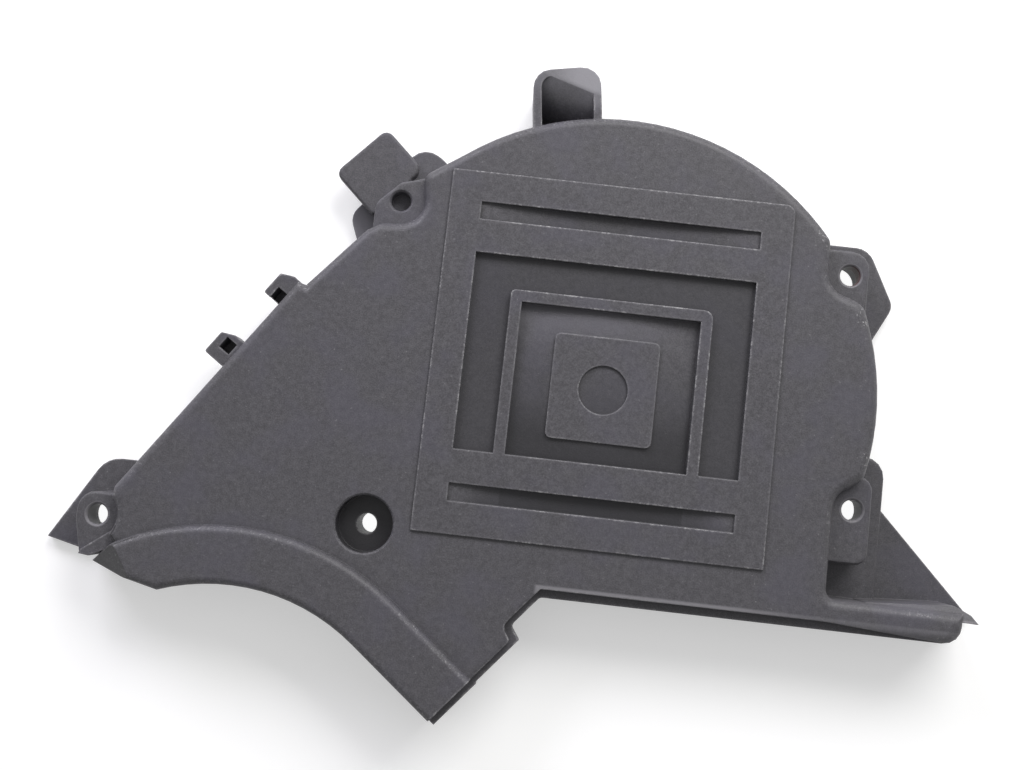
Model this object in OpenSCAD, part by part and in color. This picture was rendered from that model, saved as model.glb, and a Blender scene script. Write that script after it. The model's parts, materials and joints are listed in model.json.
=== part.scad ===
// Upper timing-belt cover: one moulding in dark filled plastic.
// Millimetres. The origin is on the centre bolt's axis in the plane of the rear rim,
// X runs along the straight bottom edge, Y goes up the face and Z comes out of the face.

/* [Face and wall] */
// Height of the face above the rear rim
face_z = 22; // [20:0.5:28]
// Thickness of the face and of the side wall
wall = 3; // [2.5:0.1:3.5]
// Radius of the rounded edge of the face
edge_r = 3.5; // [2.5:0.25:4]

/* [Sprocket housing] */
// Sprocket axis from the centre bolt, to the right
sprocket_x = 73.5; // [73:0.1:74]
// Sprocket axis from the centre bolt, upwards
sprocket_y = 54.6; // [54.2:0.1:55]
// Outer radius of the round housing
housing_r = 91.9; // [91.4:0.1:92.4]

/* [Straight edges] */
// Angle of the long diagonal edge, from X
diagonal_angle = 55.5; // [55:0.1:56]
// Distance of the diagonal edge from the centre bolt
diagonal_d = 71; // [70.6:0.1:71.4]
// Setback of the diagonal edge above its clips
setback = 2.7; // [2.2:0.1:3.2]
// Angle of the cut-off left end, from X
cut_angle = -13; // [-14:0.2:-12]
// Distance of the cut-off left end from the centre bolt
cut_d = 42.5; // [42:0.1:43]
// Bottom edge, below the centre bolt
bottom_drop = 17.5; // [17:0.1:18]
// Angle of the slanted belt mouth, from X
mouth_angle = 50; // [49:0.2:51]
// Distance of the belt mouth from the centre bolt
mouth_d = 62.6; // [62:0.1:63.2]
// Depth of the step in the belt mouth
mouth_step = 5.2; // [4.8:0.1:5.6]
// Place of that step along the mouth, from the centre bolt's normal to it
mouth_step_at = 11.5; // [11:0.1:12]
// Height of the open mouth above the rear rim
mouth_h = 15; // [13:0.1:16]
// Width of the sunk lip along the bottom edge
lip_w = 3; // [2.6:0.1:3.4]
// Width of the sunk lip along the mouth
mouth_lip_w = 2.1; // [1.8:0.1:2.6]
// Depth of both lips below the face
lip_drop = 2.6; // [2:0.1:3]

/* [Raised band] */
// Centre of the curved band, from the centre bolt, to the right
band_x = -41; // [-43:0.2:-39]
// Centre of the curved band, from the centre bolt, upwards
band_y = -93; // [-95:0.2:-91]
// Radius of the band's free edge
band_free_r = 68.4; // [66.4:0.2:70.2]
// Width of the band
band_w = 19.1; // [18:0.1:20.4]
// Height of the band above the face
band_rise = 3; // [2:0.1:4]
// Radius of the band's rounded edges
band_edge_r = 2.6; // [1.5:0.1:3]
// Angle of the radius at which the band turns straight
band_turn = 52; // [51:0.2:53]
// Angle of the radius to the upper corner of the band's left end
band_end = 116.7; // [116:0.1:117.4]
// Slope of the band's left end
facet_slope = 45; // [40:1:50]

/* [Pad] */
// Middle of the raised square below the sprocket axis
square_drop = 1.9; // [1.5:0.1:2.3]
// Width of the raised pad
pad_w = 116.2; // [112:0.2:120]
// Reach of the pad above the middle of the square
pad_up = 69.3; // [66:0.1:72]
// Reach of the pad below the middle of the square
pad_down = 52.9; // [50:0.1:56]
// Height of the pad above the face
pad_rise = 0.7; // [0.5:0.1:1.2]
// Radius of the pad's and the rib's upper right corners
pad_r = 3; // [2:0.1:3.6]
// Width of the large recess and of the two slots
recess_w = 94.6; // [90:0.2:98]
// Reach of the large recess above the middle of the square
recess_up = 41.7; // [39:0.1:44]
// Reach of the large recess below the middle of the square
recess_down = 24.8; // [23:0.1:27]
// Depth of the large recess below the pad
recess_deep = 1.9; // [1.2:0.1:2.2]
// Height of each slot
slot_h = 6; // [4:0.1:7]
// Middle of the upper slot above the middle of the square
slot_up = 56; // [53:0.1:58]
// Middle of the lower slot below the middle of the square
slot_down = 39; // [36:0.1:42]
// Depth of a slot at its ends, below the pad
slot_end_deep = 0.8; // [0.6:0.1:1.2]
// Depth of a slot at its middle, below the pad
slot_mid_deep = 2.4; // [1.8:0.1:2.6]
// Outer width of the three-sided rib in the recess
rib_w = 68; // [62:0.2:74]
// Reach of the rib above the middle of the square
rib_up = 30.4; // [28:0.1:33]
// Thickness of the rib
rib_t = 3.9; // [3:0.1:5]
// Depth of the floor inside the rib, below the pad
well_deep = 2.5; // [2.2:0.1:2.6]
// Rise of the domed middle of that floor
dome_rise = 1.4; // [1:0.1:1.5]
// Side of the raised square
square_side = 35.3; // [31:0.1:39]
// Corner radius of the raised square
square_r = 2; // [1:0.1:4]
// Depth of the raised square below the pad
square_deep = 0.9; // [0.6:0.1:1]
// Diameter of the round dimple in the square
dimple_d = 16.4; // [14:0.2:20]
// Depth of the dimple
dimple_deep = 0.7; // [0.4:0.1:1]

/* [Bolts] */
// Diameter of the bolt holes
bolt_d = 6.8; // [6.4:0.1:7.2]
// Bevel round the bolt holes and the counterbore
hole_bevel = 0.6; // [0.3:0.1:0.8]
// Diameter of the counterbore at the centre bolt
counterbore_d = 19; // [16:0.1:21]
// Depth of the counterbore below the face
counterbore_deep = 7.5; // [5:0.1:10]
// Drop of the ears' faces below the face
ear_drop = 5.5; // [4:0.1:7]
// Thickness of the upper right ear at its hole
right_top_t = 5.5; // [4.5:0.1:7]
// Thickness of the lower right ear at its hole
right_low_t = 7; // [6:0.1:9]
// Thickness of the left ear at its hole
left_low_t = 8.5; // [7:0.1:10]
// Diameter of the recess behind each ear's hole
ear_seat_d = 11.4; // [11:0.1:11.6]
// Distance from a right-hand ear's hole to the ear's outer edge
ear_edge = 6.5; // [6.4:0.1:7]
// Radius of the ears' rounded edges
ear_r = 1.2; // [0.8:0.1:1.6]
// Radius of the scallop round an upper ear's hole
scallop_r = 8.2; // [7.8:0.1:8.6]
// Distance of the right-hand holes beyond the housing's outer radius
bolt_out = 0.95; // [0.5:0.05:1.4]
// Angle of the upper right hole round the sprocket axis
right_top_turn = 30.45; // [30:0.05:31]
// Angle of the lower right hole round the sprocket axis
right_low_turn = -20.15; // [-20.6:0.05:-19.7]
// Distance of the left hole inside the diagonal edge
left_low_in = 1.1; // [0.6:0.1:1.6]
// Left hole along the diagonal edge, downwards from the centre bolt's normal to it
left_low_at = 56.5; // [56:0.1:57]
// Distance of the blind upper left hole inside the diagonal edge
left_top_in = 7.6; // [7.2:0.1:8]
// Blind hole along the diagonal edge, upwards from the centre bolt's normal to it
left_top_at = 89.6; // [89:0.1:90.2]
// Depth of the blind hole
blind_deep = 4.5; // [3:0.1:6]

/* [Rear flange] */
// Thickness of the flange lobes on the rear rim
lobe_t = 3; // [2:0.1:4]
// Thickness of the flange behind the lower right ear
low_lobe_t = 6; // [4:0.1:8]
// Thickness of the corner gusset
gusset_t = 2.5; // [2:0.1:3]
// Setback of the left lobe's cut edge from the cut-off left end
lobe_setback = 1; // [0.6:0.1:1.4]

/* [Ledge] */
// Reach of the ledge beyond the housing, to the right
ledge_out = 33.5; // [32:0.1:35]
// Height of the ledge
ledge_h = 10.4; // [10:0.1:11]
// Radius of the ledge's lower right corner
ledge_r = 6.2; // [5:0.1:6.4]
// Left side of the pocket above the ledge, from the lower right hole
pocket_left = 7.2; // [7:0.1:7.6]
// Reach of the pointed fin beyond the ledge
fin_out = 4.7; // [4:0.1:6]
// Slope of the top of the fin, towards the upper edge
fin_slope = 35; // [30:1:40]

/* [Catch and clips] */
// Foot of the top catch, to the left of the sprocket axis
catch_left = 20.8; // [20:0.1:22]
// Lean of the catch to the left
catch_lean = 7; // [5:0.5:9]
// Width of the catch
catch_w = 23.4; // [22.6:0.1:24.6]
// Reach of the catch beyond the housing
catch_out = 17.3; // [16.4:0.1:18.4]
// Fall of the catch's top edge towards the left
catch_fall = 2.2; // [1.5:0.1:3]
// Corner radius of the catch
catch_r = 6.5; // [5.5:0.1:7]
// Thickness of the catch's side walls
catch_wall = 2.8; // [2.2:0.1:3.2]
// Angle of the ridge across the catch
ridge_angle = -24; // [-27:1:-21]
// Fall of the catch's outer slope, in degrees
outer_fall = 8; // [4:1:12]
// Radius of the ramp that falls from the ridge to the housing
ramp_r = 20; // [17:0.5:24]
// Place of the lower clip along the diagonal edge, from the centre bolt's normal to it
clip_at = 7.5; // [7:0.1:8.2]
// Distance between the two clips
clip_pitch = 28.2; // [27.6:0.1:28.8]
// Length of a clip along the edge
clip_len = 10.7; // [10.2:0.1:11.2]
// Reach of the lower clip beyond the edge
clip_out = 9; // [8.4:0.1:9.6]
// Reach of the upper clip beyond the edge
upper_clip_out = 7.4; // [7:0.1:8]
// Height of a clip above the rear rim
clip_z = 16; // [14:0.1:18]
// Depth of a clip
clip_h = 8; // [6:0.1:9]
// Side of the square pocket in a clip
clip_pocket = 4.3; // [3.8:0.1:4.6]
// Length of the tab beside the blind hole
tab_len = 24; // [23:0.1:25]
// Width of the tab
tab_w = 19.7; // [19:0.1:20.4]
// Direction of the tab's long edge, from X
tab_angle = -132.5; // [-134:0.5:-131]
// Height of the tab's face above the rear rim
tab_z = 10; // [9:0.1:11]
// Thickness of the tab
tab_t = 3; // [2.4:0.1:3.6]

/* [Hidden] */
$fn = 64;

// A hair more than a cut needs, so that it passes its faces
past = 1;
// Radius of the outline's outer corners: a little more than the rounded edge takes
corner_r = edge_r + 1;
// Heights that follow from the face; the upper left ear lies at the foot of the rounded edge
ceiling_z = face_z - wall;
pad_z = face_z + pad_rise;
band_z = face_z + band_rise;
ear_z = face_z - ear_drop;
left_top_z = face_z - edge_r;
lip_z = face_z - lip_drop;
// Normals of the straight edges
diagonal_n = diagonal_angle + 90;
mouth_n = mouth_angle - 90;
cut_n = cut_angle - 90;
bottom_n = 270;
// Points that several features share
sprocket = [sprocket_x, sprocket_y];
square_c = sprocket - [0, square_drop];
band_c = [band_x, band_y];
right_top = sprocket + (housing_r + bolt_out) * dir(right_top_turn);
right_low = sprocket + (housing_r + bolt_out) * dir(right_low_turn);
left_low = on_line(diagonal_n, diagonal_d - left_low_in, left_low_at);
left_top = on_line(diagonal_n, diagonal_d - left_top_in, -left_top_at);
// The ledge: its right end, its upper edge and the pocket above it
ledge_end = sprocket_x + housing_r + ledge_out;
ledge_y = ledge_h - bottom_drop;
pocket_x = right_low.x - pocket_left;
// Radii and distances of the raised band's two edges, of its middle and of their straight tails
band_high_r = band_free_r + band_w;
band_mid_r = band_free_r + band_w / 2;
function tail_d(r) = band_c * dir(band_turn) + r;
// Corners of the band's sloped left end: at its top, at its foot and at its tip
facet_top = band_c + band_high_r * dir(band_end);
facet_foot_in = 17;
facet_foot = cut_at(cut_d, left_low.x + facet_foot_in);
facet_tip_out = 0.9;
facet_tip = cut_at(cut_d, left_low.x - facet_tip_out);
// Angles at which the band's free edge ends and the face below the band ends
band_free_end = 110;
band_mid_end = 113;
// How far the face stops short of the facet's top, and how far the band overhangs the belt mouth
facet_in = [1.2, 1];
band_over = 0.4;
// Round stretches of the housing, as turns about the sprocket axis, and the shoulders beside them
right_arc = [-9, 17];
top_arc = [42, 127];
low_shoulder = -13.5;
high_shoulder = 38.8;
// Turns of the scallops round the right, upper left and left holes
pocket_arc = [180, 110];
right_scallop = [265, 172];
left_top_scallop = [10, -85];
left_low_scallop = [40, -35];
left_low_scallop_r = 10;
left_low_scallop_c = left_low - [2.4, 0];
// End of the straight diagonal edge, above the left hole
diagonal_foot = 11.2;
// Half the run of the step in the diagonal edge, and half the lean of the step in the belt mouth
setback_run = 0.5;
step_slant = 0.7;
// Radii of the inner corners of the mouth and of the pocket above the ledge
mouth_r = 2;
pocket_r = 3;
shoulder_r = 4;
// Middle and length of the open belt mouth, along it
mouth_open = [0.5, 41];

// Outlines, as corners [x, y] or [x, y, radius] from the feature's own hole or corner
right_top_ear = [[-12, -16], [ear_edge, -16], [ear_edge, 8.6, 6], [-12, 8.6]];
right_low_ear = [[-12, -18], [ear_edge, -18, 4], [ear_edge, 11.6, 5], [-12, 11.6]];
left_low_ear = [[-7.2, 7.5, 6], [-7.2, -2], [-4.4, -13.6], [-1, -14], [3.7, -11.9], [7, -13.5], [12, -8],
    [12, 7.5]];
left_low_rim = [[-3.3, -11.9], [7.4, -3.7], [12, -3.7], [12, -10], [4, -11.6], [-0.5, -13.8], [-3.9, -13.4]];
left_top_ear = [[-8.6, -13], [16, -13], [18, 12.2], [-0.8, 6.7, 2.5], [-8.6, -1.2, 5]];
right_top_lobe = [[-8, -24], [12.5, -20.5], [19.6, -6.5, 5], [9.5, 13.3, 7], [-8, 13.3]];
left_top_lobe = [[-15, -14], [14, 0], [14, 18.6, 6], [4, 25.1, 7], [-19.3, -3.2, 6]];
left_low_lobe = [[-4, -8], [8, 0], [16, 19], [-4.2, 19, 9]];
ledge_fin = [[-32, -2], [fin_out, -2.9], [fin_out - 2, -0.3], [-2.2, 2.1], [-32, 0.2]];
// Corners of the face beside the scallops of the upper holes
right_top_foot = [[4.7, -10.5, 6]];
left_top_head = [[6.9, 9.5, shoulder_r]];
left_top_foot = [[-5.5, -8.6, corner_r], [-10.1, -11.3]];
// Outer corner of the tab from the blind hole, and the two ends of its neck along its length
tab_corner = [-9.2, 27.6];
tab_neck = [8, 19];

// Plane geometry
function dir(a) = [cos(a), sin(a)];
function unit(v) = v / norm(v);
function angle_of(v) = atan2(v.y, v.x);
// The point where two lines meet, each given by its normal's angle and its distance
function meet(n1, d1, n2, d2) =
    [d1 * sin(n2) - d2 * sin(n1), d2 * cos(n1) - d1 * cos(n2)] / sin(n2 - n1);
// A point at a distance along a line's normal and a place along the line
function on_line(n, d, at) = d * dir(n) + at * dir(n + 90);
// The point at a given x on a line that runs with the cut-off left end
function cut_at(d, x) = [x, (d - x * cos(cut_n)) / sin(cut_n)];
// Points along an arc between two turns
function arc(c, r, turns, steps) =
    [for (i = [0:steps]) c + r * dir(turns[0] + (turns[1] - turns[0]) * i / steps)];
// A corner given its radius, and an outline moved to its place
function corner(p, r) = [p.x, p.y, r];
function flat(p) = [p.x, p.y];
function at(p, outline) = [for (c = outline) len(c) > 2 ? corner(p + flat(c), c[2]) : p + c];
// One corner of a path rounded off, in five points
function round_corner(a, b, c, r) =
    let (u = unit(a - b), v = unit(c - b), half = acos(u * v) / 2)
    let (centre = b + unit(u + v) * r / sin(half), first = angle_of(b + u * r / tan(half) - centre))
    let (turn = (u.x * v.y - u.y * v.x > 0 ? -1 : 1) * (180 - 2 * half))
    [for (i = [0:4]) centre + r * dir(first + turn * i / 4)];
// A closed path from corners, with those that have a radius rounded off
function rounded(path) =
    let (n = len(path))
    [for (i = [0:n - 1])
        each len(path[i]) < 3 ? [path[i]]
            : round_corner(flat(path[(i + n - 1) % n]), flat(path[i]), flat(path[(i + 1) % n]), path[i][2])];
// The left-hand normal of an edge, which points into an anticlockwise path
function inward(a, b) = let (u = unit(b - a)) [-u.y, u.x];
// A closed path moved inwards by a distance
function inset(path, d) =
    let (n = len(path))
    [for (i = [0:n - 1])
        let (before = inward(path[(i + n - 1) % n], path[i]), after = inward(path[i], path[(i + 1) % n]))
        path[i] + d * (before + after) / (1 + before * after)];

// A solid on a closed path with its top edge rounded: a prism less the waste outside a quarter-round
module crowned(path, top, r) {
    steps = r > 2 ? 5 : 3;
    quarter = [for (i = [0:steps]) [r * (1 - cos(90 * i / steps)), top - r + r * sin(90 * i / steps)]];
    section = concat([[-past, top - r]], quarter, [[r, top + past], [-past, top + past]]);
    n = len(path);
    m = len(section);
    points = [for (s = section) each [for (p = inset(path, s[0])) [p.x, p.y, s[1]]]];
    faces = [for (k = [0:m - 1]) each [for (i = [0:n - 1])
        let (next = (k + 1) % m * n, j = (i + 1) % n) [k * n + i, k * n + j, next + j, next + i]]];
    difference() {
        linear_extrude(top) polygon(path);
        polyhedron(points, faces);
    }
}

// A flat plate on a path of corners
module plate(path, from, to) {
    translate([0, 0, from]) linear_extrude(to - from) polygon(rounded(path));
}

// The face's outline, anticlockwise from the inner corner of the belt mouth
inner_corner = meet(mouth_n, mouth_d - mouth_step, bottom_n, bottom_drop);
clip_top = clip_at + clip_pitch + clip_len;
function face_path() = rounded(concat(
    [corner(inner_corner, mouth_r), [ledge_end, -bottom_drop, ledge_r], [ledge_end, ledge_y]],
    [[pocket_x, ledge_y, pocket_r]],
    arc(right_low, pocket_left, pocket_arc, 5),
    [corner(sprocket + housing_r * dir(low_shoulder), corner_r)],
    arc(sprocket, housing_r, right_arc, 7),
    at(right_top, right_top_foot),
    arc(right_top, scallop_r, right_scallop, 7),
    [corner(sprocket + housing_r * dir(high_shoulder), shoulder_r)],
    arc(sprocket, housing_r, top_arc, 22),
    at(left_top, left_top_head),
    arc(left_top, scallop_r, left_top_scallop, 7),
    at(left_top, left_top_foot),
    [on_line(diagonal_n, diagonal_d - setback, -clip_top - setback_run)],
    [on_line(diagonal_n, diagonal_d, setback_run - clip_top)],
    [on_line(diagonal_n, diagonal_d, left_low_at - diagonal_foot)],
    arc(left_low_scallop_c, left_low_scallop_r, left_low_scallop, 6),
    [facet_top - facet_in],
    arc(band_c, band_mid_r, [band_mid_end, band_turn], 15),
    [meet(band_turn, tail_d(band_mid_r), mouth_n, mouth_d)],
    [on_line(mouth_n, mouth_d, mouth_step_at - step_slant)],
    [corner(on_line(mouth_n, mouth_d - mouth_step, mouth_step_at + step_slant), mouth_r)]));

// The strip along the bottom edge and the belt mouth, to given depths into the face; it runs out
// towards the ledge's rounded corner
function mouth_strip(low, side) =
    let (step_at = mouth_step_at - side, inner_d = mouth_d - mouth_step - side, far = mouth_d + band_w)
    rounded([
        [ledge_end - ledge_r, -bottom_drop + low - 0.9 * lip_w],
        [pocket_x, -bottom_drop + low],
        corner(meet(mouth_n, inner_d, bottom_n, bottom_drop - low), 1),
        corner(on_line(mouth_n, inner_d, step_at + step_slant), 3),
        corner(on_line(mouth_n, mouth_d - side, step_at - step_slant), 1.5),
        on_line(mouth_n, mouth_d - side, -far),
        on_line(mouth_n, far, -far),
        [ledge_end - ledge_r, -bottom_drop - band_w]]);

// The raised band's outline: two arcs and their straight tails, shrunk by an even margin and lengthened
// at the belt mouth
function band_path(margin, longer) = concat(
    arc(band_c, band_free_r + margin, [band_free_end - margin, band_turn], 14),
    [meet(band_turn, tail_d(band_free_r + margin), mouth_n, mouth_d + longer)],
    [meet(band_turn, tail_d(band_high_r - margin), mouth_n, mouth_d + longer)],
    arc(band_c, band_high_r - margin, [band_turn, band_end - margin], 16));
module band() {
    difference() {
        crowned(concat([facet_tip], band_path(0, band_over)), band_z, band_edge_r);
        translate([facet_top.x, facet_top.y, band_z]) rotate(angle_of(facet_foot - facet_top))
            rotate([facet_slope, 0, 0]) translate([-past, -2 * band_w, 0]) cube(2 * band_w);
    }
}

// The hollow behind the face, open at the belt mouth and along the bottom edge
module hollow() {
    difference() {
        translate([0, 0, -past]) {
            linear_extrude(ceiling_z + past) polygon(inset(face_path(), wall));
            linear_extrude(band_z - wall + past) polygon(band_path(wall, 2 * wall));
        }
        translate([0, 0, mouth_h]) linear_extrude(face_z)
            polygon(mouth_strip(lip_w + wall, mouth_lip_w + wall));
    }
    translate([0, 0, -past]) linear_extrude(mouth_h + past) {
        rotate(mouth_n) translate([mouth_d - mouth_step + wall, mouth_open[0]])
            square([6 * wall, mouth_open[1]], center = true);
        translate([inner_corner.x - wall, -bottom_drop - wall])
            square([pocket_x - 2 * wall - inner_corner.x, 3 * wall]);
    }
}

// Bolt ears, with a raised rim along the left one's lower end
module ears() {
    rim_rise = 1.3;
    crowned(rounded(at(right_top, right_top_ear)), ear_z, ear_r);
    crowned(rounded(at(right_low, right_low_ear)), ear_z, ear_r);
    crowned(rounded(at(left_low, left_low_ear)), ear_z, ear_r);
    crowned(rounded(at(left_top, left_top_ear)), left_top_z, ear_r);
    plate(at(left_low, left_low_rim), 0, ear_z + rim_rise);
}

// Flange lobes on the rear rim
module lobes() {
    low_lobe = right_low + [13.4, 19];
    low_lobe_r = 7;
    cut_ends = [20.8, 8];
    cut_edge = [for (out = cut_ends) cut_at(cut_d - lobe_setback, left_low.x - out)];
    plate(at(right_top, right_top_lobe), 0, lobe_t);
    plate(at(left_top, left_top_lobe), 0, lobe_t);
    plate(concat(cut_edge, at(left_low, left_low_lobe)), 0, lobe_t);
    crowned(rounded([[pocket_x - past, ledge_y - past], [low_lobe.x, ledge_y - past],
        corner(low_lobe, low_lobe_r), [right_low.x, low_lobe.y], [pocket_x - past, right_low.y]]),
        low_lobe_t, ear_r);
}

// Gusset plate at the right-hand end of the ledge, and the pointed fin along the ledge's top
module gusset() {
    foot = [right_low.x + 10, ledge_y - 2];
    gusset_out = 8.7;
    reach = ledge_end + gusset_out - foot.x;
    fin_z = face_z - past;
    plate(at(foot, [[0, 0], [reach, 0], [0, reach]]), 0, gusset_t);
    difference() {
        plate(at([ledge_end, ledge_y], ledge_fin), 0, fin_z);
        translate([pocket_x, ledge_y - wall, fin_z]) rotate([-fin_slope, 0, 0])
            cube([2 * ledge_out, ledge_out, ledge_out]);
    }
}

// Catch on top of the housing: a slanted ridge, beyond which the top falls outwards, and a curved ramp
// between two side walls that falls from the ridge to the housing
module catch() {
    inner = 8;
    ridge_in = 6.5;
    ramp_turns = [160, 108];
    high = catch_out + inner;
    rim_z = face_z - edge_r + 1;
    half = catch_w / 2;
    inside = half - catch_wall;
    left_high = high - catch_fall;
    translate([sprocket_x - catch_left, sprocket_y + housing_r - inner, 0]) rotate(catch_lean) difference() {
        plate([[-half, 0], [half, 0], [half, high, catch_r], [-half, left_high, catch_r]], 0, rim_z);
        intersection() {
            plate([[-inside, -past], [inside, -past], [inside, high],
                [-inside, left_high - catch_wall, catch_r - catch_wall]], 0, 2 * face_z);
            translate([0, high - ridge_in, rim_z]) rotate(ridge_angle) rotate([90, 0, 90])
                linear_extrude(2 * catch_w, center = true)
                polygon(concat([[0, wall], [-2 * high, wall], [-2 * high, -ramp_r]],
                    arc(-ramp_r * dir(ramp_turns[1]), ramp_r, ramp_turns, 6)));
        }
        translate([0, high - ridge_in, rim_z]) rotate(ridge_angle) rotate([-outer_fall, 0, 0])
            translate([-catch_w, 0, 0]) cube([2 * catch_w, high, high]);
    }
}

// One clip on the diagonal edge, with a blind pocket at a given place along it
module clip(out, pocket_at) {
    bevel = [2.2, 4.4];
    floor_t = 1.5;
    outer_wall = 2.7;
    base = clip_z - clip_h;
    difference() {
        plate([[0, -wall], [clip_len, -wall], [clip_len, out - bevel.y], [clip_len - bevel.x, out, 0.8],
            [0, out, 0.8]], base, clip_z);
        translate([pocket_at, out - outer_wall - clip_pocket, base + floor_t])
            cube([clip_pocket, clip_pocket, clip_h]);
    }
}
module clips() {
    upper_pocket_at = 0.2;
    rotate(diagonal_angle) translate([clip_at, diagonal_d, 0]) {
        clip(clip_out, clip_pocket);
        translate([clip_pitch, 0, 0]) clip(upper_clip_out, upper_pocket_at);
    }
}

// Tab beside the blind hole, with a neck that runs into the ear
module tab() {
    r = 3;
    neck_w = tab_w + 2 * wall;
    translate([left_top.x + tab_corner.x, left_top.y + tab_corner.y, tab_z - tab_t]) rotate(tab_angle)
        crowned(rounded([[0, 0, r], [tab_len, 0, r], [tab_len, tab_w], [tab_neck[1], neck_w],
            [tab_neck[0], neck_w], [tab_neck[0], tab_w, r], [0, tab_w, r + 1]]), tab_t, ear_r);
}

// Raised pad, and what is sunk into it
module pad() {
    intersection() {
        plate(at(square_c, [[-pad_w / 2, -pad_down], [pad_w / 2, -pad_down], [pad_w / 2, pad_up, pad_r],
            [-pad_w / 2, pad_up]]), ceiling_z + 1, pad_z);
        translate([sprocket_x, sprocket_y, 0]) cylinder(r = housing_r - edge_r / 3, h = 2 * face_z);
    }
}
module slot(y) {
    bow = slot_mid_deep - slot_end_deep;
    bow_r = (recess_w * recess_w / 4 + bow * bow) / (2 * bow);
    intersection() {
        translate([square_c.x - recess_w / 2, y - slot_h / 2, ceiling_z]) cube([recess_w, slot_h, 2 * wall]);
        translate([square_c.x, y + slot_h, pad_z - slot_mid_deep + bow_r]) rotate([90, 0, 0])
            cylinder(r = bow_r, h = 2 * slot_h, $fn = 1440);
    }
}
module recess() {
    rib_half = rib_w / 2;
    inside = rib_half - rib_t;
    square_path = [for (s = [[-1, -1], [1, -1], [1, 1], [-1, 1]]) corner(square_side / 2 * s, square_r)];
    steps = 8;
    dome = [for (i = [0:steps]) let (s = 1 - i / steps) [rib_half * s, dome_rise * (1 - s * s)]];
    difference() {
        translate([square_c.x - recess_w / 2, square_c.y - recess_down, pad_z - recess_deep])
            cube([recess_w, recess_up + recess_down, 2 * wall]);
        plate(at(square_c, [[-rib_half, -recess_down - past], [rib_half, -recess_down - past],
            [rib_half, rib_up, pad_r], [-rib_half, rib_up, pad_r / 2]]), ceiling_z, pad_z);
    }
    difference() {
        translate([square_c.x - inside, square_c.y - recess_down, pad_z - well_deep])
            cube([2 * inside, rib_up - rib_t + recess_down, 2 * wall]);
        plate(at(square_c, square_path), ceiling_z, pad_z - square_deep);
        translate([square_c.x, square_c.y, pad_z - well_deep])
            rotate_extrude($fn = 96) polygon(concat([[0, -past], [rib_half, -past]], dome));
    }
    translate([square_c.x, square_c.y, pad_z - square_deep - dimple_deep]) cylinder(d = dimple_d, h = wall);
}

// A hole down from a face, with a bevelled edge
module hole(p, d, from, top) {
    translate([p.x, p.y, from]) cylinder(d = d, h = face_z);
    translate([p.x, p.y, top - hole_bevel]) cylinder(d1 = d, d2 = d + 4 * hole_bevel, h = 2 * hole_bevel);
}
// A hole through an ear of a given thickness, with a recess behind it
module ear_hole(p, thick) {
    hole(p, bolt_d, -past, ear_z);
    translate([p.x, p.y, -past]) cylinder(d = ear_seat_d, h = ear_z - thick + past);
}

module timing_cover() {
    color([0.33, 0.33, 0.35]) difference() {
        union() {
            difference() {
                union() {
                    crowned(face_path(), face_z, edge_r);
                    band();
                    pad();
                    ears();
                    lobes();
                    gusset();
                    catch();
                    clips();
                    tab();
                }
                hollow();
            }
            cylinder(d = counterbore_d + 2 * wall, h = face_z - past);
        }
        hole([0, 0], counterbore_d, face_z - counterbore_deep, face_z);
        translate([0, 0, -past]) cylinder(d = bolt_d, h = face_z);
        translate([0, 0, lip_z]) linear_extrude(face_z) polygon(mouth_strip(lip_w, mouth_lip_w));
        slot(square_c.y + slot_up);
        slot(square_c.y - slot_down);
        recess();
        ear_hole(right_top, right_top_t);
        ear_hole(right_low, right_low_t);
        ear_hole(left_low, left_low_t);
        hole(left_top, bolt_d, left_top_z - blind_deep, left_top_z);
    }
}

timing_cover();
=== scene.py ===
import bpy
import json
import math
from collections import namedtuple
from mathutils import Matrix, Vector

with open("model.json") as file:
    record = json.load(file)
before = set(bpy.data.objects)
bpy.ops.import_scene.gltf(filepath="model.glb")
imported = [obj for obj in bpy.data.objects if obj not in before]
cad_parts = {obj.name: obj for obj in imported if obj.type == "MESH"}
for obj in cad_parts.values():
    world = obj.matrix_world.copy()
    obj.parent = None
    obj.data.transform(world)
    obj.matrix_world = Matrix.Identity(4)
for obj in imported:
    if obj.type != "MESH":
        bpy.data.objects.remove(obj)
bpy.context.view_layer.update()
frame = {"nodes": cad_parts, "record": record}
cover = frame["nodes"]["timing_cover"]
holes = {mount["name"]: mount["pos_m"] for mount in frame["record"]["mounts"] if mount["kind"] == "bore"}
scene = bpy.context.scene
scene.view_settings.view_transform = "Standard"

# Lengths and places are in metres, and heights are over the rear rim. Unless its comment says otherwise,
# a pair is the span over which a mask fades in: where it is nothing, then where it is full.

# Facing, as the upright part of a surface's normal: level surfaces, rounded edges between level and
# upright ones, and slopes of about 45 degrees
LEVEL = (0.93, 0.99)
OFF_LEVEL = (0.98, 0.90)
OFF_UPRIGHT = (0.40, 0.60)
NOT_FLATTER = (0.80, 0.74)
NOT_STEEPER = (0.60, 0.67)

# Heights of the face and of its rounded edge
FACE_HEIGHT = (0.0180, 0.0195)
ROUNDED_HEIGHT = (0.018, 0.020)

# The raised pad: its middle, the heights of its sunk floors and the well inside its rib. The well's floor
# has painted light towards its top, a painted highlight on a part of it, and painted shade at its foot; the
# upper slot's floor is darkened less.
PAD_X = 0.0735
FLOOR_HIGHEST = (0.0218, 0.0211)
FLOOR_LOWEST = (0.0196, 0.0200)
INSIDE_RIB = (0.0306, 0.0300)
WELL_TOP_Y = (0.0805, 0.0795)
WELL_LIGHTER_Y = (0.034, 0.078)
WELL_HIGHLIGHT_X = (0.105, 0.065)
WELL_HIGHLIGHT_Y = (0.062, 0.077)
WELL_SHADE_Y = (0.050, 0.034)
SLOT_LIGHTER_Y = (0.100, 0.104)
SLOT_LIGHTER = 0.7
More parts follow.
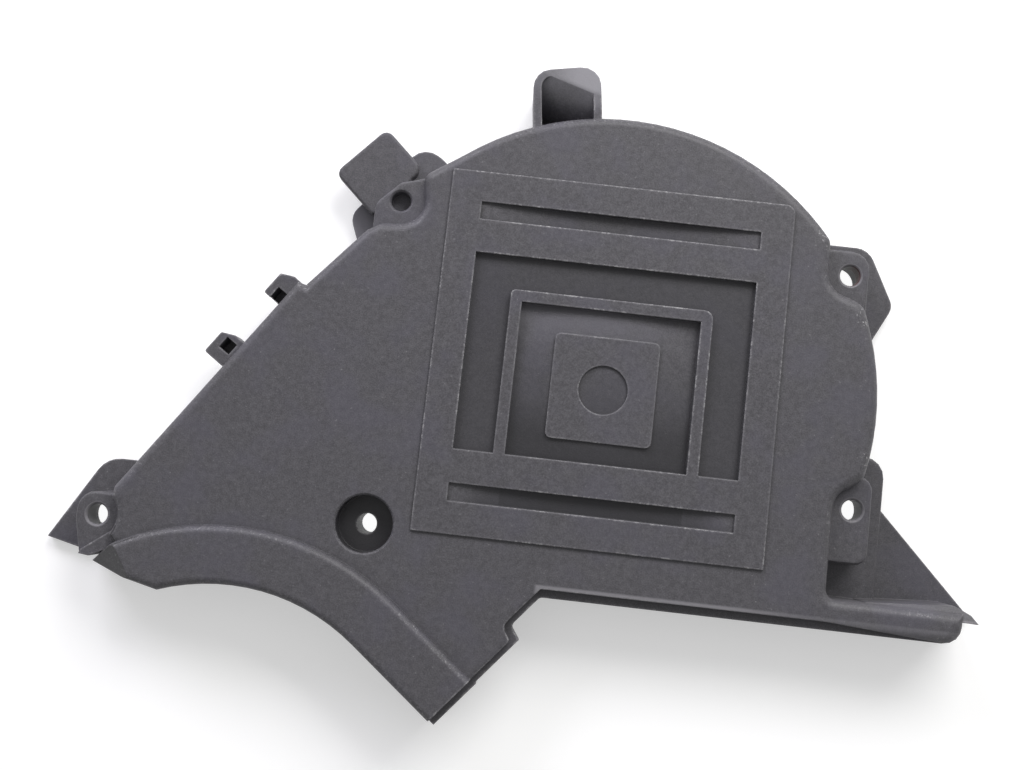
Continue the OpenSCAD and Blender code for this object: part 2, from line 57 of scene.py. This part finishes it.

# Holes: distances from their middles, the height of the centre bolt's seat, which gets painted shade, the
# facing of the bevelled rims in the ears, which get a painted highlight, and the side of one hole that is
# rusty, from its middle
EAR_HOLES = ("right_top_bolt", "right_low_bolt", "left_low_bolt")
RUSTY_HOLE = "right_top_bolt"
SEAT_REACH = (0.0099, 0.0094)
SEAT_HEIGHT = (0.0215, 0.0190)
HOLE_RIM_REACH = (0.0044, 0.0040)
HOLE_RIM_FACING = (0.2, 0.5)
HOLE_WALL_REACH = (0.0037, 0.0035)
RUSTY_SIDE = (-0.001, 0.002)

# The flange lobe behind the upper left ear, which gets painted light: its distance from the ear's hole, its
# height, and the least strength of its mask, towards its right end
LOBE_REACH = (0.034, 0.030)
LOBE_HEIGHT = (0.0040, 0.0032)
LOBE_LEFT_X = (0.000, -0.010)
LOBE_LEAST = 0.2

# The place of the raised band's sloped left end, which gets painted shade, and the distance from it
BAND_END = (-0.0810, -0.0215)
BAND_END_REACH = (0.013, 0.011)

# The catch, whose outer slope and upper ramp get painted light: the foot and the slant of its ridge, the
# distances across the ridge of its outer slope and of its ramp, and the most strength of the ramp's mask
RIDGE_X = 0.0450
RIDGE_Y = 0.1588
RIDGE_SLANT = 0.306
CATCH_Y = (0.148, 0.151)
SLOPE_ACROSS = (-0.0012, 0.0020)
SLOPE_X = (0.038, 0.056)
RAMP_ACROSS = (-0.012, -0.001)
RAMP_MOST = 0.35

# The most rubbed places: two of the pad's edges, by their Y, and spots on the rounded edge; and the rim of
# the bottom edge, worn and with a painted highlight, with the least strength of its mask, towards its right
# end
RUBBED_LINES_Y = (0.1218, 0.0829)
LINE_REACH = (0.0025, 0.0015)
RUBBED_SPOTS = ((0.1428, 0.1130), (0.1582, 0.0870), (0.1640, 0.0400))
SPOT_REACH = (0.0050, 0.0015)
BOTTOM_RIM_Y = (-0.0128, -0.0137)
BOTTOM_RIM_HEIGHT = (0.0200, 0.0210)
BOTTOM_RIM_LEFT_X = (0.0575, 0.0590)
BOTTOM_RIM_RIGHT_X = (0.152, 0.118)
BOTTOM_RIM_LEAST = 0.3

# How far rays reach to find edges and corners, how open those are, and the radius that softens edges
EDGE_REACH = 0.0010
EDGE_OPENNESS = (0.90, 0.55)
CORNER_REACH = 0.0060
CORNER_OPENNESS = (0.95, 0.45)
EDGE_SOFTNESS = 0.0006

# Spans of the noises: from dark to light plastic, its broad patches and flecks, and the breaks, patches and
# specks of its scuffs, with the least strength between those patches
SHADES = (0.32, 0.70)
BROAD_PATCHES = (0.45, 0.66)
FLECKS = (0.70, 0.78)
SCUFF_BREAKS = (0.46, 0.64)
SCUFF_PATCHES = (0.40, 0.62)
SCUFF_LEAST = 0.2
SCUFF_SPECKS = (0.54, 0.66)

# Colours of the plastic, its darker floors, its pale flecks, wear and rust, and its painted shade and light
PLASTIC_DARK = (0.048, 0.0465, 0.0510)
PLASTIC_LIGHT = (0.090, 0.0875, 0.0950)
VIOLET_PATCH = (0.076, 0.0730, 0.0940)
PALE_FLECK = (0.22, 0.215, 0.22)
PAINTED_CORNER_SHADE = (0.022, 0.0215, 0.0235)
DARKER_FLOOR = (0.026, 0.0255, 0.0285)
PAINTED_DEEP_SHADE = (0.014, 0.0135, 0.0150)
PAINTED_LOBE_LIGHT = (0.140, 0.137, 0.152)
PAINTED_CATCH_LIGHT = (0.190, 0.187, 0.203)
PAINTED_WELL_HIGHLIGHT = (0.110, 0.107, 0.120)
WORN_EDGE_AND_HIGHLIGHT = (0.19, 0.185, 0.197)
SCUFFED = (0.42, 0.415, 0.42)
RUST = (0.060, 0.018, 0.015)

# The plastic's roughness where it is darkest and lightest, and its shine
ROUGHNESS = (0.42, 0.54)
SHINE = 0.25

# Corners of facets that are closer than this are joined, and edges up to this angle are smoothed
WELD_REACH = 1e-6
SMOOTHED_ANGLE = math.radians(24)

# The stage: its middle, the table's height and half its width, half the width of the white under each
# hole, and the distances over which the table's glow rises
STAGE_MIDDLE = (0.05, 0.05)
TABLE_Z = -0.0002
TABLE_HALF = 3.0
HOLE_WHITE_HALF = 0.006
GLOW_RISE = (0.3, 1.0)

# The sky: the span of directions over which it brightens, and its light at both ends
SKY_SPAN = (-0.7, 0.7)
SKY_LIGHT = (0.30, 0.54)

# The photograph's camera: its place, its right and upward directions, its focal length and the picture's
# width in pixels, the sensor's width in millimetres, and the nearest distance that it sees
CAMERA_PLACE = (0.047465, 0.016395, 0.386030)
CAMERA_RIGHT = Vector((0.993644, 0.112561, -0.000797))
CAMERA_UP = Vector((-0.111973, 0.989121, 0.095399))
FOCAL_PIXELS = 1100.0
PHOTO_PIXELS = 1024.0
SENSOR_WIDTH = 36.0
CAMERA_NEAREST = 0.01

# The sockets of a mix node that take and give colours
MIX_A = 6
MIX_B = 7
MIX_RESULT = 2

# The point being shaded: its coordinates, its place on the face, how far it faces up and if it is level
Point = namedtuple("Point", "x y z flat up level")


def new_material(name):
    """Makes an empty node material and returns it with its tree and an output node."""
    material = bpy.data.materials.new(name)
    material.use_nodes = True
    tree = material.node_tree
    tree.nodes.clear()
    out = tree.nodes.new("ShaderNodeOutputMaterial")
    return material, tree, out


def add(tree, kind, **settings):
    """Adds a node and sets its properties, or its input sockets by name, with _ for a space."""
    node = tree.nodes.new(kind)
    for key, value in settings.items():
        if hasattr(node, key):
            setattr(node, key, value)
        else:
            node.inputs[key.replace("_", " ")].default_value = value
    return node


def link(tree, source, target):
    """Joins two sockets."""
    tree.links.new(source, target)


def math_node(tree, operation, a, b=None):
    """Adds a maths node fed by sockets or plain numbers and returns its result."""
    node = add(tree, "ShaderNodeMath", operation=operation)
    for socket, value in zip(node.inputs, (a, b)):
        if isinstance(value, (int, float)):
            socket.default_value = value
        elif value is not None:
            link(tree, value, socket)
    return node.outputs[0]


def remap(tree, value, span, ends=(0.0, 1.0)):
    """Takes a span of a value smoothly from one end to the other, and holds the ends beyond it."""
    node = add(tree, "ShaderNodeMapRange", clamp=True, interpolation_type="SMOOTHSTEP",
               From_Min=span[0], From_Max=span[1], To_Min=ends[0], To_Max=ends[1])
    link(tree, value, node.inputs["Value"])
    return node.outputs[0]


def noise(tree, coords, size, detail=3.0, roughness=0.55):
    """Noise with features of about a given size in metres."""
    node = add(tree, "ShaderNodeTexNoise", Scale=1.0 / size, Detail=detail, Roughness=roughness)
    link(tree, coords, node.inputs["Vector"])
    return node.outputs["Fac"]


def mix_colour(tree, factor, a, b):
    """Mixes two colours, given as numbers or sockets, by a factor socket."""
    node = add(tree, "ShaderNodeMix", data_type="RGBA")
    link(tree, factor, node.inputs["Factor"])
    for socket, value in ((node.inputs[MIX_A], a), (node.inputs[MIX_B], b)):
        if isinstance(value, tuple):
            socket.default_value = (*value, 1.0)
        else:
            link(tree, value, socket)
    return node.outputs[MIX_RESULT]


def product(tree, *factors):
    """Multiplies sockets and plain numbers together."""
    result = factors[0]
    for factor in factors[1:]:
        result = math_node(tree, "MULTIPLY", result, factor)
    return result


def any_of(tree, *masks):
    """The greatest of some masks at each point."""
    result = masks[0]
    for mask in masks[1:]:
        result = math_node(tree, "MAXIMUM", result, mask)
    return result


def inverse(tree, mask):
    """One less a mask."""
    return math_node(tree, "SUBTRACT", 1.0, mask)


def blend(tree, a, b, share):
    """Adds two noises, the first with a given share of the sum."""
    return math_node(tree, "ADD", product(tree, a, share), product(tree, b, 1.0 - share))


def split(tree, vector):
    """The three parts of a vector."""
    node = add(tree, "ShaderNodeSeparateXYZ")
    link(tree, vector, node.inputs[0])
    return node.outputs


def shaded_point(tree, coords):
    """What the masks need to know of the point being shaded."""
    x, y, z = split(tree, coords)
    flat = add(tree, "ShaderNodeCombineXYZ")
    link(tree, x, flat.inputs["X"])
    link(tree, y, flat.inputs["Y"])
    up = split(tree, add(tree, "ShaderNodeNewGeometry").outputs["Normal"])["Z"]
    return Point(x, y, z, flat.outputs[0], up, remap(tree, up, LEVEL))


def off_line(tree, value, place):
    """Distance of a coordinate from a given value."""
    return math_node(tree, "ABSOLUTE", math_node(tree, "SUBTRACT", value, place))


def near(tree, point, place, reach):
    """A mask round a place on the face, by the distance from it."""
    node = add(tree, "ShaderNodeVectorMath", operation="DISTANCE")
    link(tree, point.flat, node.inputs[0])
    node.inputs[1].default_value = (place[0], place[1], 0.0)
    return remap(tree, node.outputs["Value"], reach)


def pad_masks(tree, point):
    """The raised pad's sunk floors: those that are darker, and the well's painted highlight near its top and
    painted shade at its foot.
    """
    at_floor = product(tree, remap(tree, point.z, FLOOR_HIGHEST), remap(tree, point.z, FLOOR_LOWEST))
    floors = product(tree, point.level, at_floor)
    inside_rib = remap(tree, off_line(tree, point.x, PAD_X), INSIDE_RIB)
    well = product(tree, inside_rib, remap(tree, point.y, WELL_TOP_Y))
    well_floor = product(tree, floors, well)
    # Painted light: the well's floor is darkened less towards its top
    lighter_well_top = product(tree, well, remap(tree, point.y, WELL_LIGHTER_Y))
    lighter_slot = remap(tree, point.y, SLOT_LIGHTER_Y, (0.0, SLOT_LIGHTER))
    return {
        "floors": product(tree, floors, inverse(tree, any_of(tree, lighter_well_top, lighter_slot))),
        "wiped": product(tree, well_floor, remap(tree, point.y, WELL_HIGHLIGHT_Y), remap(tree, point.x, WELL_HIGHLIGHT_X)),
        "grime": product(tree, well_floor, remap(tree, point.y, WELL_SHADE_Y)),
    }


def hole_masks(tree, point):
    """The centre bolt's seat, for painted shade, the rims of the ears' holes, for a painted highlight, and
    the rusty wall of one hole.
    """
    seat = near(tree, point, holes["centre_bolt"], SEAT_REACH)
    rims = [near(tree, point, holes[name], HOLE_RIM_REACH) for name in EAR_HOLES]
    rusty_hole = holes[RUSTY_HOLE]
    rusty_wall = product(tree, near(tree, point, rusty_hole, HOLE_WALL_REACH), inverse(tree, point.level))
    rusty_x = [rusty_hole[0] + offset for offset in RUSTY_SIDE]
    return {
        "seat": product(tree, seat, remap(tree, point.z, SEAT_HEIGHT)),
        "hole_rims": product(tree, any_of(tree, *rims), remap(tree, point.up, HOLE_RIM_FACING)),
        "rust": product(tree, rusty_wall, remap(tree, point.x, rusty_x)),
    }


def lobe_mask(tree, point):
    """The top of the flange lobe behind the upper left ear, more towards its left end, for painted light."""
    behind_ear = near(tree, point, holes["locating_hole"], LOBE_REACH)
    top = product(tree, behind_ear, remap(tree, point.z, LOBE_HEIGHT), point.level)
    return product(tree, top, remap(tree, point.x, LOBE_LEFT_X, (LOBE_LEAST, 1.0)))


def band_end_mask(tree, point):
    """The slope at the raised band's left end, which is cut at 45 degrees, for painted shade."""
    halfway = product(tree, remap(tree, point.up, NOT_FLATTER), remap(tree, point.up, NOT_STEEPER))
    return product(tree, near(tree, point, BAND_END, BAND_END_REACH), halfway)


def catch_mask(tree, point):
    """The catch's outer slope, beyond its ridge, and the upper part of its ramp, for painted light."""
    above_foot = math_node(tree, "SUBTRACT", point.y, RIDGE_Y)
    beside_foot = math_node(tree, "SUBTRACT", point.x, RIDGE_X)
    across = math_node(tree, "ADD", above_foot, product(tree, beside_foot, RIDGE_SLANT))
    slope = product(tree, remap(tree, across, SLOPE_ACROSS), remap(tree, point.x, SLOPE_X))
    ramp = remap(tree, across, RAMP_ACROSS, (0.0, RAMP_MOST))
    return product(tree, any_of(tree, slope, ramp), remap(tree, point.y, CATCH_Y))


def edge_masks(tree, point, face):
    """Rounded edges of the face, the edges and spots that are rubbed most, and the rim of the bottom edge,
    which is worn and gets a painted highlight.
    """
    rounded = product(tree, remap(tree, point.up, OFF_LEVEL), remap(tree, point.up, OFF_UPRIGHT))
    lines = [remap(tree, off_line(tree, point.y, line_y), LINE_REACH) for line_y in RUBBED_LINES_Y]
    spots = [near(tree, point, place, SPOT_REACH) for place in RUBBED_SPOTS]
    rim = product(tree, remap(tree, point.y, BOTTOM_RIM_Y), remap(tree, point.z, BOTTOM_RIM_HEIGHT))
    rim_left = remap(tree, point.x, BOTTOM_RIM_LEFT_X)
    rim_right = remap(tree, point.x, BOTTOM_RIM_RIGHT_X, (BOTTOM_RIM_LEAST, 1.0))
    return {
        "rounded": product(tree, rounded, remap(tree, point.z, ROUNDED_HEIGHT)),
        "lines": any_of(tree, *lines),
        "spots": product(tree, any_of(tree, *spots), face),
        "bottom_rim": product(tree, rim, rim_left, rim_right),
    }


def marked_places(tree, coords):
    """Masks by name: the face, the places where the plastic is darker, pale or rubbed, and those that get
    painted shade or light.
    """
    point = shaded_point(tree, coords)
    face = remap(tree, point.z, FACE_HEIGHT)
    return {
        "face": face,
        "lobe": lobe_mask(tree, point),
        "band_end": band_end_mask(tree, point),
        "catch": catch_mask(tree, point),
        **pad_masks(tree, point),
        **hole_masks(tree, point),
        **edge_masks(tree, point, face),
    }


def openness(tree, reach, inside):
    """The share of rays, into the body or out of it, that meet none of its surface within a reach."""
    node = add(tree, "ShaderNodeAmbientOcclusion", samples=8, only_local=True, inside=inside, Distance=reach)
    return node.outputs["AO"]


def scuff_masks(tree, coords, places, edge):
    """Worn edges, with painted highlights on the holes' rims and the bottom rim, and scuffs: broken along the
    sharp edges, and specks in patches on the rounded ones.
    """
    broken = remap(tree, noise(tree, coords, size=0.0020, detail=5.0, roughness=0.75), SCUFF_BREAKS)
    patches = remap(tree, noise(tree, coords, size=0.030, detail=2.0), SCUFF_PATCHES, (SCUFF_LEAST, 1.0))
    specks = remap(tree, noise(tree, coords, size=0.0011, detail=4.0, roughness=0.8), SCUFF_SPECKS)
    along = product(tree, edge, broken, any_of(tree, patches, places["lines"]))
    dotted = product(tree, places["rounded"], specks, patches, 0.5)
    scuffs = any_of(tree, along, dotted, product(tree, places["spots"], specks))
    strengths = ((edge, 0.35), (places["hole_rims"], 0.55), (places["bottom_rim"], 0.85))
    wear_and_highlights = any_of(tree, *[product(tree, mask, strength) for mask, strength in strengths])
    return wear_and_highlights, scuffs


def filled_plastic():
    """Dark filled plastic: fine grain, darker sunk floors, pale scuffs on the rubbed outer edges, and painted
    shade and light in places.
    """
    material, tree, out = new_material("filled_plastic")
    coords = add(tree, "ShaderNodeTexCoord").outputs["Object"]
    places = marked_places(tree, coords)

    # Outer edges are where rays into the body soon leave it, and corners, which get painted shade, where rays
    # out of it soon stop
    edge = remap(tree, openness(tree, EDGE_REACH, inside=True), EDGE_OPENNESS)
    enclosed = remap(tree, openness(tree, CORNER_REACH, inside=False), CORNER_OPENNESS)
    corner_shade = product(tree, enclosed, places["face"])
    wear_and_highlights, scuffs = scuff_masks(tree, coords, places, edge)

    # The plain plastic: mottle and fine grain, with noises for broad patches and a few pale flecks
    mottle = noise(tree, coords, size=0.0018, roughness=0.65)
    grain = noise(tree, coords, size=0.0005, detail=2.0, roughness=0.7)
    patches = remap(tree, noise(tree, coords, size=0.022), BROAD_PATCHES)
    flecks = remap(tree, noise(tree, coords, size=0.0009, detail=2.0), FLECKS)
    shade = remap(tree, blend(tree, mottle, grain, share=0.4), SHADES)
    colour = mix_colour(tree, shade, PLASTIC_DARK, PLASTIC_LIGHT)

    # What lies over it, from the lowest up: each layer's mask, strength and colour. Some layers are painted
    # shade or light.
    layers = (
        (patches, 0.35, VIOLET_PATCH),
        (flecks, 0.4, PALE_FLECK),
        # Painted shade: darker where the face is enclosed, in corners and at the foot of walls
        (corner_shade, 0.45, PAINTED_CORNER_SHADE),
        (places["floors"], 0.62, DARKER_FLOOR),
        # Painted shade at the well's foot
        (places["grime"], 0.45, PAINTED_DEEP_SHADE),
        # Painted shade in the centre bolt's seat
        (places["seat"], 0.8, PAINTED_DEEP_SHADE),
        # Painted shade on the band's sloped left end
        (places["band_end"], 0.9, PAINTED_DEEP_SHADE),
        # Painted light on the lobe behind the upper left ear
        (places["lobe"], 0.8, PAINTED_LOBE_LIGHT),
        # Painted light on the catch's outer slope and upper ramp
        (places["catch"], 0.8, PAINTED_CATCH_LIGHT),
        # Painted highlight on the upper part of the well's floor
        (places["wiped"], 0.45, PAINTED_WELL_HIGHLIGHT),
        # Worn edges, and painted highlights on the holes' rims and the bottom rim
        (wear_and_highlights, 1.0, WORN_EDGE_AND_HIGHLIGHT),
        (scuffs, 0.65, SCUFFED),
        (places["rust"], 0.8, RUST),
    )
    for mask, strength, tint in layers:
        colour = mix_colour(tree, product(tree, mask, strength), colour, tint)

    # Surface: a fine moulded texture, with edges that are a little soft
    soft = add(tree, "ShaderNodeBevel", samples=6, Radius=EDGE_SOFTNESS)
    bump = add(tree, "ShaderNodeBump", Strength=0.35, Distance=0.0002)
    link(tree, blend(tree, grain, mottle, share=0.6), bump.inputs["Height"])
    link(tree, soft.outputs[0], bump.inputs["Normal"])
    shader = add(tree, "ShaderNodeBsdfPrincipled", Specular_IOR_Level=SHINE)
    link(tree, colour, shader.inputs["Base Color"])
    link(tree, remap(tree, shade, (0.0, 1.0), ROUGHNESS), shader.inputs["Roughness"])
    link(tree, bump.outputs[0], shader.inputs["Normal"])
    link(tree, shader.outputs[0], out.inputs["Surface"])
    return material


def viewing_rays(tree):
    """One for rays that look at the background, straight or by reflection or through glass."""
    rays = add(tree, "ShaderNodeLightPath").outputs
    return any_of(tree, rays["Is Camera Ray"], rays["Is Glossy Ray"], rays["Is Transmission Ray"])


def lit_white(name, diffuse, glow):
    """A white stage surface that keeps shadows: diffuse white, with a glow that only viewing rays see.

    Far from the surface's middle the glow rises, so that the stage is white up to the horizon.
    """
    material, tree, out = new_material(name)
    distance = add(tree, "ShaderNodeVectorMath", operation="LENGTH")
    link(tree, add(tree, "ShaderNodeTexCoord").outputs["Object"], distance.inputs[0])
    rising_glow = remap(tree, distance.outputs["Value"], GLOW_RISE, (glow, 1.0))
    surface = add(tree, "ShaderNodeBsdfDiffuse", Color=(diffuse, diffuse, diffuse, 1.0))
    emission = add(tree, "ShaderNodeEmission")
    link(tree, product(tree, viewing_rays(tree), rising_glow), emission.inputs["Strength"])
    both = add(tree, "ShaderNodeAddShader")
    link(tree, surface.outputs[0], both.inputs[0])
    link(tree, emission.outputs[0], both.inputs[1])
    link(tree, both.outputs[0], out.inputs["Surface"])
    return material


def plane(name, centre, half, material):
    """A square of the stage, facing up."""
    corners = [(half * i, half * j, 0.0) for i, j in ((-1, -1), (1, -1), (1, 1), (-1, 1))]
    mesh = bpy.data.meshes.new(name)
    mesh.from_pydata(corners, [], [(0, 1, 2, 3)])
    mesh.materials.append(material)
    piece = bpy.data.objects.new(name, mesh)
    piece.location = centre
    scene.collection.objects.link(piece)


def lamp(name, location, size, energy, colour):
    """A rectangular lamp that shines at the stage's middle."""
    light = bpy.data.lights.new(name, "AREA")
    light.shape = "RECTANGLE"
    light.size, light.size_y = size
    light.energy = energy
    light.color = colour
    piece = bpy.data.objects.new(name, light)
    piece.location = location
    aim = Vector((*STAGE_MIDDLE, 0.0)) - piece.location
    piece.rotation_euler = aim.to_track_quat("-Z", "Y").to_euler()
    piece.visible_camera = False
    scene.collection.objects.link(piece)


# The part: its facets are joined and smoothed up to an angle, and its flat faces stay flat
plastic = filled_plastic()
for slot in cover.material_slots:
    slot.material = plastic
cover.data.shade_smooth()
weld = cover.modifiers.new("weld", "WELD")
weld.merge_threshold = WELD_REACH
sharp = cover.modifiers.new("sharp_edges", "EDGE_SPLIT")
sharp.split_angle = SMOOTHED_ANGLE
normals = cover.modifiers.new("face_normals", "WEIGHTED_NORMAL")
normals.mode = "FACE_AREA"

# The table, with painted light under the holes that pass through: there it glows brighter, so no shadow shows
plane("table", (*STAGE_MIDDLE, TABLE_Z), TABLE_HALF, lit_white("table_white", diffuse=0.66, glow=0.40))
hole_white = lit_white("table_under_holes", diffuse=0.8, glow=0.95)
for name, place in holes.items():
    if name != "locating_hole":
        plane("table_under_" + name, (place[0], place[1], TABLE_Z / 2), HOLE_WHITE_HALF, hole_white)

# Light: a white sky that is brighter towards +Y, a broad lamp at the upper right and a cool one at the left
world = bpy.data.worlds.new("studio")
scene.world = world
world.use_nodes = True
sky_tree = world.node_tree
sky = sky_tree.nodes["Background"]
sky.inputs["Color"].default_value = (1.0, 1.0, 1.0, 1.0)
direction = split(sky_tree, add(sky_tree, "ShaderNodeTexCoord").outputs["Generated"])
sky_light = remap(sky_tree, direction["Y"], SKY_SPAN, SKY_LIGHT)
link(sky_tree, any_of(sky_tree, sky_light, viewing_rays(sky_tree)), sky.inputs["Strength"])
lamp("upper_right_lamp", (0.36, 0.74, 0.56), size=(0.7, 0.4), energy=9.0, colour=(1.0, 0.99, 0.98))
lamp("upper_left_lamp", (-0.45, 0.70, 0.40), size=(0.5, 0.3), energy=5.6, colour=(0.92, 0.90, 1.0))

# The camera, at the photograph's place
camera = bpy.data.objects.new("camera", bpy.data.cameras.new("camera"))
camera.data.sensor_width = SENSOR_WIDTH
camera.data.lens = FOCAL_PIXELS * SENSOR_WIDTH / PHOTO_PIXELS
camera.data.clip_start = CAMERA_NEAREST
camera_back = CAMERA_RIGHT.cross(CAMERA_UP)
turn = Matrix((CAMERA_RIGHT, CAMERA_UP, camera_back)).transposed().to_4x4()
camera.matrix_world = Matrix.Translation(CAMERA_PLACE) @ turn
scene.collection.objects.link(camera)
scene.camera = camera
